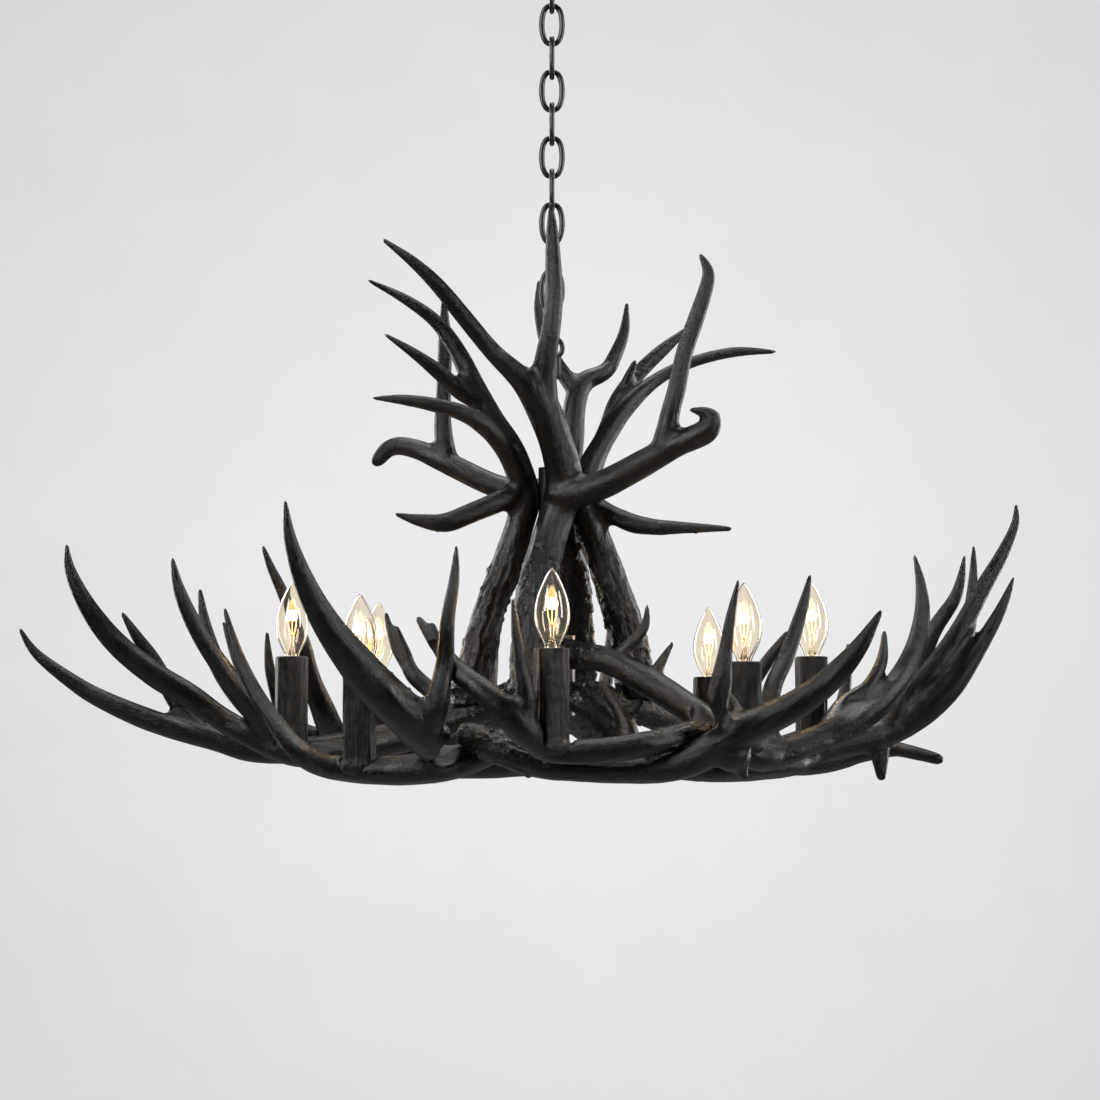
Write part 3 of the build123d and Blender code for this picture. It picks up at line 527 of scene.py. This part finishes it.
def antler_skin(name, look):
    """One antler: a fine skin with webbed forks, long grooves and beads near its burr."""
    obj = node_copy(name, name.replace("_antler", "_cast_antler"))
    voxel = look.voxel * 1.0
    for swell in (look.web, -look.web):
        apply_modifier(obj, "REMESH", mode="VOXEL", voxel_size=voxel * 1.4)
        apply_modifier(obj, "DISPLACE", strength=swell, mid_level=0)
    apply_modifier(obj, "REMESH", mode="VOXEL", voxel_size=voxel)
    mesh = obj.data
    ends = edges_of(mesh)
    co = relax(points_of(mesh), ends, 3)
    set_points(mesh, co)
    for _ in range(5):  # fills the creases of the forks
        normal = normals_of(mesh)
        fill = ((relax(co, ends, 16) - co) * normal).sum(1)
        co = co + normal * relax(np.maximum(fill - 0.05 * MM, 0), ends, 3)[:, None]
        set_points(mesh, co)
    crown = name.startswith("crown")
    low = co[np.argmin(co[:, 2] if crown else np.hypot(co[:, 0], co[:, 1]))]
    way, along, out = limb_field(obj, low)
    seed = sum(map(ord, name))
    shift = np.array([seed % 17, seed % 29, seed % 41], float)
    normal = normals_of(mesh)
    thick = np.abs(co - relax(co, ends, 40)) @ np.ones(3)
    thick = np.clip(1.3 - relax(thick, ends, 6) / (1.1 * MM), 0.15, 1)
    # gnarled near burrs and on the crown's legs, smooth toward the tips
    if crown:
        rise = (co[:, 2] - RING_Z) / MM
        gnarl = np.clip((258 - rise) / 55, 0, 1)
    else:
        gnarl = np.clip(1.25 - way / (115 * MM), 0, 1)
    gnarl = gnarl * gnarl * (3 - 2 * gnarl)
    run = along * (way / (58 * MM))[:, None]
    coil = way[:, None] / (260 * MM) * np.array([0.7, -0.4, 0.5])
    grain = out * 2.3 + run * 0.55 + coil + shift
    swell = waves(out * 0.85 + co / (44 * MM) + shift, 2)
    groove = waves(grain, 3)
    crease = -np.abs(waves(grain * 1.7 + 5.1, 2)) + 0.3
    knots = waves(co / (7.5 * MM) + shift, 3)
    draw = random.Random(seed)
    small = 1.3 * MM * 1
    ridge = np.clip(waves(out * 1.6 + shift + 3.3, 1) * 3.2, 0, 1)
    bead = beads(co, gnarl * ridge, 16, draw, small, 3.6 * MM)
    move = swell * 0.9 * MM * thick
    move += groove * look.groove * thick * (0.55 + 1.1 * gnarl)
    move += crease * look.groove * thick * (0.45 + 1.3 * gnarl)
    move += knots * gnarl * 0.45 * MM
    move += waves(grain * 1.15 + co / (19 * MM), 2) * gnarl * 1.1 * MM
    move += bead * look.pearl
    if crown:  # the coronet round each foot
        foot = rise - rise.min()
        edge = np.exp(-((foot - 17) / 5.5) ** 2)
        move += edge * (3.2 + 1.8 * waves(out * 3.1 + shift, 2)) * MM
    co = co + normal * move[:, None]
    set_points(mesh, co)
    around = relax(co, ends, 10)
    dip = ((around - co) * normals_of(mesh)).sum(1) / (0.55 * MM)
    attribute(mesh, "grain", grain)
    attribute(mesh, "hollow", np.clip(dip, -1, 1))
    attribute(mesh, "gnarl", gnarl)
    return shade(obj)


class CHANDELIER_OT_antlers(bpy.types.Operator):
    """Skins every antler over its CAD solid"""
    bl_idname = "chandelier.antlers"
    bl_label = "Antlers"

    def execute(self, context):
        look = context.scene.antler_look
        resin = antler_resin()
        for name in ANTLERS:
            dress(antler_skin(name, look), resin, "fixture", "antler_resin", name)
        return {"FINISHED"}


# --- lamps -------------------------------------------------------------------------------
def lamp_place(lamp):
    """Axis, seat and top of a sleeve, from its CAD node."""
    low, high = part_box("sleeve_" + lamp)
    return (low.x + high.x) / 2, (low.y + high.y) / 2, low.z, high.z


def sleeve_skin(lamp, look):
    """A hewn tube with a rounded lip and a foot that swells over the antler."""
    x, y, seat, top = lamp_place(lamp)
    radius = look.sleeve_radius
    bpy.ops.object.select_all(action="DESELECT")
    bpy.ops.mesh.primitive_cylinder_add(
        vertices=72, radius=radius, depth=top - seat + 6 * MM, location=(x, y, (top + seat) / 2 - 3 * MM))
    tube = settle(bpy.context.object)
    bpy.ops.mesh.primitive_uv_sphere_add(segments=48, ring_count=24, radius=1, location=(x, y, seat - 1 * MM))
    foot = bpy.context.object
    foot.scale = (radius * 1.13, radius * 1.13, 11 * MM)
    settle(foot)
    obj = join([tube, foot], "candle_sleeve_" + lamp)
    voxel = 1.3 * MM * 1
    apply_modifier(obj, "REMESH", mode="VOXEL", voxel_size=voxel)
    mesh = obj.data
    ends = edges_of(mesh)
    co = relax(points_of(mesh), ends, 8)
    set_points(mesh, co)
    normal = normals_of(mesh)
    seed = sum(map(ord, lamp))
    turn = np.arctan2(co[:, 1] - y, co[:, 0] - x)
    side = 1 - np.clip(np.abs(normal[:, 2]) * 1.4, 0, 1)
    # hewn with a few uneven flats, that lean and wander a little
    draw = random.Random(seed)
    flats = 9
    reach = np.full(len(co), 1.0)
    for i in range(flats):
        aim = math.tau * (i + draw.uniform(-0.22, 0.22)) / flats
        lean = draw.uniform(-0.16, 0.16)
        away = aim + lean * (co[:, 2] - seat) / (top - seat)
        facing = np.cos(turn - away)
        cut = draw.uniform(0.90, 0.965) / np.maximum(facing, 0.05)
        reach = np.minimum(reach, np.where(facing > 0.5, cut, 1.0))
    reach = relax(reach, ends, 1)
    tall = np.column_stack([np.cos(turn), np.sin(turn), co[:, 2] / (34 * MM)])
    bark = waves(tall * np.array([5.5, 5.5, 1]) + seed, 3)
    split = -np.abs(waves(tall * np.array([3.1, 3.1, 0.6]) + seed + 9, 2)) + 0.25
    move = ((reach - 1) * radius + bark * 0.42 * MM + split * 0.7 * MM) * side
    co = co + normal * move[:, None]
    high = top - 0.2 * MM
    co[:, 2] = np.minimum(co[:, 2], high)
    # the bore that the bulb stands in
    gone = np.hypot(co[:, 0] - x, co[:, 1] - y)
    lid = (normal[:, 2] > 0.5) & (co[:, 2] > top - 8 * MM)
    bore = 12.6 * MM
    dish = np.clip((bore + 1.6 * MM - gone) / (3.2 * MM), 0, 1)
    co[lid, 2] -= dish[lid] * 2.6 * MM
    set_points(mesh, co)
    around = relax(co, ends, 6)
    dip = ((around - co) * normals_of(mesh)).sum(1) / (0.7 * MM)
    attribute(mesh, "hollow", np.clip(dip, 0, 1))
    return shade(obj)


def bulb_skin(lamp, look):
    """A flame shaped envelope with a wall, from its neck to its pointed crown."""
    x, y, _, _ = lamp_place(lamp)
    low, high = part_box("bulb_glass_" + lamp)
    tall = high.z - low.z
    wide = look.bulb_radius
    outline = [(look.neck_radius, 0), (look.neck_radius * 1.02, 0.045), (wide * 0.52, 0.10),
               (wide * 0.70, 0.175), (wide * 0.86, 0.25), (wide * 0.965, 0.34), (wide, 0.43),
               (wide * 0.965, 0.53), (wide * 0.87, 0.63), (wide * 0.72, 0.73), (wide * 0.52, 0.83),
               (wide * 0.33, 0.91), (wide * 0.16, 0.968), (wide * 0.05, 0.993), (0, 1.0)]
    outer = [(r, low.z + t * tall) for r, t in outline]
    wall = 0.7 * MM
    inner = [(max(r - wall, 0), z - (wall * 1.3 if r < wide * 0.6 and t > 0.5 else 0))
             for (r, z), (_, t) in zip(outer, outline)]
    inner[-1] = (0, high.z - 1.6 * wall)
    obj = lathe(outer + inner[::-1] + [outer[0]], "flame_bulb_" + lamp, 48, (x, y))
    apply_modifier(obj, "SUBSURF", levels=1, render_levels=1)
    return shade(obj)


def bulb_works(lamp):
    """Glass post with its support wires, and the lit wire that they carry."""
    x, y, _, _ = lamp_place(lamp)
    low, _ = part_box("bulb_glass_" + lamp)
    z = low.z
    profile = [(0, 1), (5.4, 1), (4.4, 5), (2.4, 11), (1.7, 18), (2.6, 22), (1.6, 25), (0, 25.5)]
    post = lathe([(r * MM, z + h * MM) for r, h in profile], "glass_post_" + lamp, 24, (x, y))
    shade(post)
    wires = []
    for side in (-1, 1):
        bends = [(0.9, 21), (2.2, 28), (4.2, 33), (4.4, 43)]
        wires.append(wire([(x + side * out * MM, y, z + h * MM) for out, h in bends], 0.32 * MM))
    wires.append(wire([(x, y, z + 25 * MM), (x, y + 0.5 * MM, z + 36 * MM), (x, y, z + 50 * MM)], 0.3 * MM))
    holders = join(wires, "support_wire_" + lamp)
    loops = []
    for i in range(41):
        t = i / 40
        a = t * math.tau * 5
        span = -4.4 + 8.8 * t
        loops.append((x + span * MM, y + math.sin(a) * 0.9 * MM,
                      z + 43 * MM + (6.5 * math.sin(t * math.pi) + 0.9 * math.cos(a)) * MM))
    coil = wire(loops, 0.42 * MM)
    coil.name = "lit_coil_" + lamp
    return post, shade(holders), shade(coil)


def wire(points, radius):
    """A round wire through points, as a mesh."""
    curve = bpy.data.curves.new("wire", "CURVE")
    curve.dimensions = "3D"
    curve.bevel_depth = radius
    curve.bevel_resolution = 2
    curve.use_fill_caps = True
    line = curve.splines.new("NURBS")
    line.points.add(len(points) - 1)
    for point, place in zip(line.points, points):
        point.co = (*place, 1)
    line.order_u = 3
    line.use_endpoint_u = True
    line.resolution_u = 4
    obj = bpy.data.objects.new("wire", curve)
    bpy.context.scene.collection.objects.link(obj)
    only(obj)
    bpy.ops.object.convert(target="MESH")
    return bpy.context.object


def screw_shell(lamp):
    """The brass thread and contact of a bulb."""
    x, y, _, _ = lamp_place(lamp)
    low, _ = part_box("bulb_base_" + lamp)
    start = low.z
    profile = [(0, start), (2.6 * MM, start), (3 * MM, start + 0.8 * MM), (4.2 * MM, start + 1.4 * MM)]
    turns = 7
    for i in range(turns * 2 + 1):
        profile.append(((5.9 if i % 2 else 5.45) * MM, start + (2.4 + i * 1.15) * MM))
    end = profile[-1][1]
    profile += [(5.9 * MM, end + 0.8 * MM), (6.2 * MM, end + 1.4 * MM), (0, end + 1.4 * MM)]
    obj = lathe(profile, "screw_shell_" + lamp, 40, (x, y))
    return shade(obj, 50)


class CHANDELIER_OT_sleeves(bpy.types.Operator):
    """Makes the hewn sleeves, dished round the bulbs' bores"""
    bl_idname = "chandelier.sleeves"
    bl_label = "Sleeves"

    def execute(self, context):
        look = context.scene.lamp_look
        bark = sleeve_resin()
        for lamp in LAMPS:
            dress(sleeve_skin(lamp, look), bark, "fixture", "sleeve_resin", "sleeve_" + lamp)
        return {"FINISHED"}


class CHANDELIER_OT_bulbs(bpy.types.Operator):
    """Makes the flame bulbs with their posts, wires and screw shells"""
    bl_idname = "chandelier.bulbs"
    bl_label = "Bulbs"

    def execute(self, context):
        look = context.scene.lamp_look
        glass = clear_glass()
        glow = lit_wire("lit_wire", 1.0, (1.0, 0.78, 0.45))
        # the support wires' glow is painted light for the bulbs' amber look; real supports don't glow
        support_painted_glow = lit_wire("painted_support_glow", 0.16, (1.0, 0.5, 0.18))
        brass = plain_metal("shell_brass", (0.75, 0.55, 0.26), (0.5, 0.35, 0.15), 0.28)
        for lamp in LAMPS:
            body = "bulb_" + lamp
            dress(bulb_skin(lamp, look), glass, body, "bulb_glass", "bulb_glass_" + lamp)
            post, holders, coil = bulb_works(lamp)
            dress(post, glass, body, "bulb_glass")
            dress(holders, support_painted_glow, body, "shell_brass")
            dress(coil, glow, body, "shell_brass")
            dress(screw_shell(lamp), brass, body, "shell_brass", "bulb_base_" + lamp)
        return {"FINISHED"}


# --- chain and ceiling -------------------------------------------------------------------
def link_skin(node, look):
    """A forged link: a ring drawn out between its bows, with its weld on one leg."""
    low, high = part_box(node)
    centre = (low + high) / 2
    edge_on = (high.y - low.y) > (high.x - low.x)
    bow = (look.width - look.wire) / 2
    tall = (high.z - low.z - look.wire) / 2
    bpy.ops.object.select_all(action="DESELECT")
    bpy.ops.mesh.primitive_torus_add(
        major_segments=96, minor_segments=24, major_radius=1, minor_radius=0.1,
        location=(0, 0, 0), rotation=(math.pi / 2, 0, 0))
    obj = settle(bpy.context.object)
    obj.name = node.replace("chain_link", "forged_link")
    mesh = obj.data
    co = points_of(mesh)
    # the wire's path is an oval between a stadium and an ellipse; its legs are a little fuller
    # than its bows, and the weld stands out round the middle of the left one
    turn = np.arctan2(co[:, 2], co[:, 0])
    over = np.hypot(co[:, 0], co[:, 2]) - 1
    path = np.column_stack([bow * np.sign(np.cos(turn)) * np.abs(np.cos(turn)) ** 0.78, 0 * turn,
                            tall * np.sign(np.sin(turn)) * np.abs(np.sin(turn)) ** 0.92])
    out = np.column_stack([np.cos(turn) / bow, 0 * turn, np.sin(turn) / tall])
    out /= np.linalg.norm(out, axis=1, keepdims=True)
    leg = np.cos(turn) ** 2
    weld = np.exp(-(path[:, 2] / (2.1 * MM)) ** 2) * (np.abs(turn) > 1.6)
    thick = look.wire / 2 * (1 + 0.03 * leg + 0.03 * weld)
    co = path + out * (over / 0.1 * thick)[:, None] + np.array([0, 1, 0]) * (co[:, 1] / 0.1 * thick)[:, None]
    co[:, 0] -= np.sign(path[:, 0]) * leg * 0.5 * MM * np.clip(-over / 0.1, 0, 1)
    if edge_on:
        co = co[:, [1, 0, 2]] * np.array([-1, 1, 1])
    co += np.array(centre)
    set_points(mesh, co)
    return shade(obj)


def hoop_skin(node, name):
    """A ring with a turned collar, from its CAD node, with softened steps."""
    obj = node_copy(node, name)
    apply_modifier(obj, "REMESH", mode="VOXEL", voxel_size=0.7 * MM * 1)
    mesh = obj.data
    set_points(mesh, relax(points_of(mesh), edges_of(mesh), 3))
    return shade(obj)


def canopy_skin():
    """A spun dome with a rolled rim and a raised boss."""
    low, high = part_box("ceiling_canopy")
    wide, deep = (high.x - low.x) / 2, high.z - low.z
    profile = []
    for i in range(15):
        t = i / 14 * math.pi / 2
        profile.append((16 * MM + (wide - 17.2 * MM) * math.sin(t),
                        -deep + (deep - 6 * MM) * (1 - math.cos(t))))
    boss = [(5.2 * MM, -deep), (13 * MM, -deep), (15 * MM, -deep + 0.6 * MM)]
    rim = [(wide - 1.2 * MM, -4.6 * MM), (wide - 0.2 * MM, -3.6 * MM), (wide, -2.4 * MM),
           (wide - 0.2 * MM, -1 * MM), (wide - 1.2 * MM, 0)]
    inner = [(wide - 2.6 * MM, 0), (wide - 2.8 * MM, -5 * MM)]
    inside = [(r - 1.4 * MM, z + 1.4 * MM) for r, z in reversed(profile)]
    ring = boss + profile + rim + inner + inside + [(5.2 * MM, -deep + 1.6 * MM), (5.2 * MM, -deep)]
    obj = lathe(ring, "spun_canopy", 96)
    return shade(obj, 40)


class CHANDELIER_OT_chain(bpy.types.Operator):
    """Makes the links, canopy and turned loops, and paints the plain hardware"""
    bl_idname = "chandelier.chain"
    bl_label = "Chain"

    def execute(self, context):
        look = context.scene.chain_look
        steel = black_steel()
        for node in LINKS:
            dress(link_skin(node, look), steel, "link_" + node[-2:], "black_steel", node)
        dress(canopy_skin(), steel, "ceiling_mount", "black_steel", "ceiling_canopy")
        for node, body in (("canopy_loop", "ceiling_mount"), ("hub_loop", "fixture")):
            dress(hoop_skin(node, "turned_" + node), steel, body, "black_steel", node)
        zinc = plain_metal("zinc_steel", (0.55, 0.55, 0.56), (0.4, 0.4, 0.42), 0.35)
        plastic = plain_metal("socket_plastic", (0.02, 0.02, 0.02), (0.03, 0.03, 0.03), 0.45)
        paints = {"mounting_crossbar": zinc, "canopy_nipple": zinc, "stem_nuts": steel, "dowel_pins": steel,
                  "center_stem": steel, "lower_hub": steel, "lamp_sockets": plastic}
        for name, paint in paints.items():
            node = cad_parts[name]
            node.data.materials.clear()
            node.data.materials.append(paint)
        return {"FINISHED"}


# --- stage -------------------------------------------------------------------------------
FLOOR_DROP = 1.2  # from the ring to the floor
LAMP_LIGHT = 0.12  # watts that each filament adds to the scene
COIL_RISE = 42 * MM  # from a sleeve's top to the filament
SOFTBOXES = (  # name, place with its height above the ring, width, height, power
    ("left_softbox", (-1.9, -2.0, 1.5), 0.8, 2.0, 76),
    ("right_softbox", (2.3, -1.3, 0.9), 0.6, 2.0, 50),
    ("top_softbox", (0.2, 0.5, 2.4), 1.8, 1.2, 52),
    ("left_rim", (-2.0, 2.0, 0.8), 0.6, 2.2, 40),
    ("right_rim", (2.1, 1.9, 0.7), 0.6, 2.2, 40),
)


def studio_air(colour):
    """A pale mottled backdrop for the camera and through glass, and dimmer air that lights the object."""
    g = Graph("studio_air", air=True)
    way = g.node("ShaderNodeTexCoord", {}, {}, out="Generated")
    mottle = g.noise(way, 26, 5, 0.62) * 0.5 + g.noise(way, 7, 3) * 0.5
    # painted pool of light on the backdrop: brightest round +Y, straight behind the fixture, and dimmer away
    # from it
    aside = g.node("ShaderNodeVectorMath", {"operation": "DISTANCE"}, {0: way, 1: (0.01, 0.997, 0.06)},
                   out="Value")
    pale = g.clamp(aside, 0.06, 0.27, 1.0, 0.80)
    tone = g.clamp(mottle, 0.3, 0.7, 0.975, 1.025) * pale
    seen = g.node("ShaderNodeBackground", {}, {"Color": colour, "Strength": tone})
    air = g.node("ShaderNodeBackground", {}, {"Color": (0.95, 0.97, 1.0), "Strength": 0.06})
    path = g.tree.nodes.new("ShaderNodeLightPath")
    either = Flow(g, path.outputs["Is Camera Ray"]) + Flow(g, path.outputs["Is Transmission Ray"])
    return g.finish(g.node("ShaderNodeMixShader", {}, {0: either, 1: air, 2: seen}))


def backdrop_paint(colour):
    """A pale ground for the camera and through glass, darker to the light, that fades away at its edge."""
    g = Graph("backdrop_paint")
    tone = g.blend(g.noise(g.object_space(), 0.7, 2), colour, [c * 0.985 for c in colour])
    lit = g.node("ShaderNodeEmission", {}, {"Color": tone, "Strength": 1.0})
    matt = g.node("ShaderNodeBsdfDiffuse", {}, {"Color": [c * 0.4 for c in colour]})
    path = g.tree.nodes.new("ShaderNodeLightPath")
    seen = Flow(g, path.outputs["Is Camera Ray"]) + Flow(g, path.outputs["Is Transmission Ray"])
    shader = g.node("ShaderNodeMixShader", {}, {0: seen, 1: matt, 2: lit})
    away = g.node("ShaderNodeVectorMath", {"operation": "LENGTH"}, {0: g.node(
        "ShaderNodeMapping", {}, {"Vector": g.object_space(), "Scale": (1, 1, 0)})}, out="Value")
    clear = g.node("ShaderNodeBsdfTransparent", {}, {})
    return g.finish(g.node("ShaderNodeMixShader", {}, {0: g.clamp(away, 1.6, 4.2), 1: shader, 2: clear}))


def softbox(name, place, aim, wide, tall, power):
    light = bpy.data.lights.new(name, "AREA")
    light.shape = "RECTANGLE"
    light.size, light.size_y = wide, tall
    light.energy = power
    obj = bpy.data.objects.new(name, light)
    bpy.context.scene.collection.objects.link(obj)
    obj.location = place
    obj.rotation_euler = (Vector(aim) - Vector(place)).to_track_quat("-Z", "Y").to_euler()
    return obj


class CHANDELIER_OT_stage(bpy.types.Operator):
    """Sets up the backdrop, floor, lights and camera"""
    bl_idname = "chandelier.stage"
    bl_label = "Stage"

    def execute(self, context):
        scene = context.scene
        look = scene.stage_look
        scene.view_settings.view_transform = "Standard"
        scene.world = studio_air(look.backdrop)
        bpy.ops.object.select_all(action="DESELECT")
        bpy.ops.mesh.primitive_plane_add(size=9, location=(0, 0, RING_Z - FLOOR_DROP))
        floor = settle(context.object)
        floor.name = "floor"
        floor.data.materials.append(backdrop_paint(look.backdrop))
        middle = (0, 0, RING_Z + 0.25)
        for name, (x, y, above), wide, tall, power in SOFTBOXES:
            softbox(name, (x, y, RING_Z + above), middle, wide, tall, power)
        for lamp in LAMPS:
            x, y, _, top = lamp_place(lamp)
            glow = bpy.data.lights.new("wire_light_" + lamp, "POINT")
            glow.energy = LAMP_LIGHT
            glow.shadow_soft_size = 6 * MM
            glow.color = scene.lamp_look.warm
            spot = bpy.data.objects.new("wire_light_" + lamp, glow)
            scene.collection.objects.link(spot)
            spot.location = (x, y, top + COIL_RISE)
        camera = bpy.data.cameras.new("camera")
        camera.lens = look.lens
        camera.sensor_width = 36
        camera.clip_end = 60
        eye = bpy.data.objects.new("camera", camera)
        scene.collection.objects.link(eye)
        eye.location = (-0.002, -look.distance, RING_Z)
        eye.rotation_euler = (math.pi / 2 + look.pitch, 0, 0)
        scene.camera = eye
        return {"FINISHED"}


class CHANDELIER_PT_panel(bpy.types.Panel):
    """Lists the steps that make the chandelier"""
    bl_label = "Antler Chandelier"
    bl_space_type = "VIEW_3D"
    bl_region_type = "UI"
    bl_category = "Chandelier"

    def draw(self, context):
        layout = self.layout
        for look in ("antler_look", "lamp_look", "chain_look", "stage_look"):
            group = getattr(context.scene, look)
            box = layout.box()
            for key in group.__annotations__:
                box.prop(group, key)
        for step in STEPS:
            layout.operator(step.bl_idname)


LOOKS = {"antler_look": AntlerLook, "lamp_look": LampLook, "chain_look": ChainLook, "stage_look": StageLook}
STEPS = (CHANDELIER_OT_antlers, CHANDELIER_OT_sleeves, CHANDELIER_OT_bulbs, CHANDELIER_OT_chain,
         CHANDELIER_OT_stage)


def register():
    for group in (*LOOKS.values(), *STEPS, CHANDELIER_PT_panel):
        bpy.utils.register_class(group)
    for name, group in LOOKS.items():
        setattr(bpy.types.Scene, name, bpy.props.PointerProperty(type=group))


def unregister():
    for name in LOOKS:
        delattr(bpy.types.Scene, name)
    for group in (CHANDELIER_PT_panel, *reversed(STEPS), *LOOKS.values()):
        bpy.utils.unregister_class(group)


def main():
    register()
    bpy.ops.chandelier.antlers()
    bpy.ops.chandelier.sleeves()
    bpy.ops.chandelier.bulbs()
    bpy.ops.chandelier.chain()
    bpy.ops.chandelier.stage()


if __name__ == "__main__":
    main()
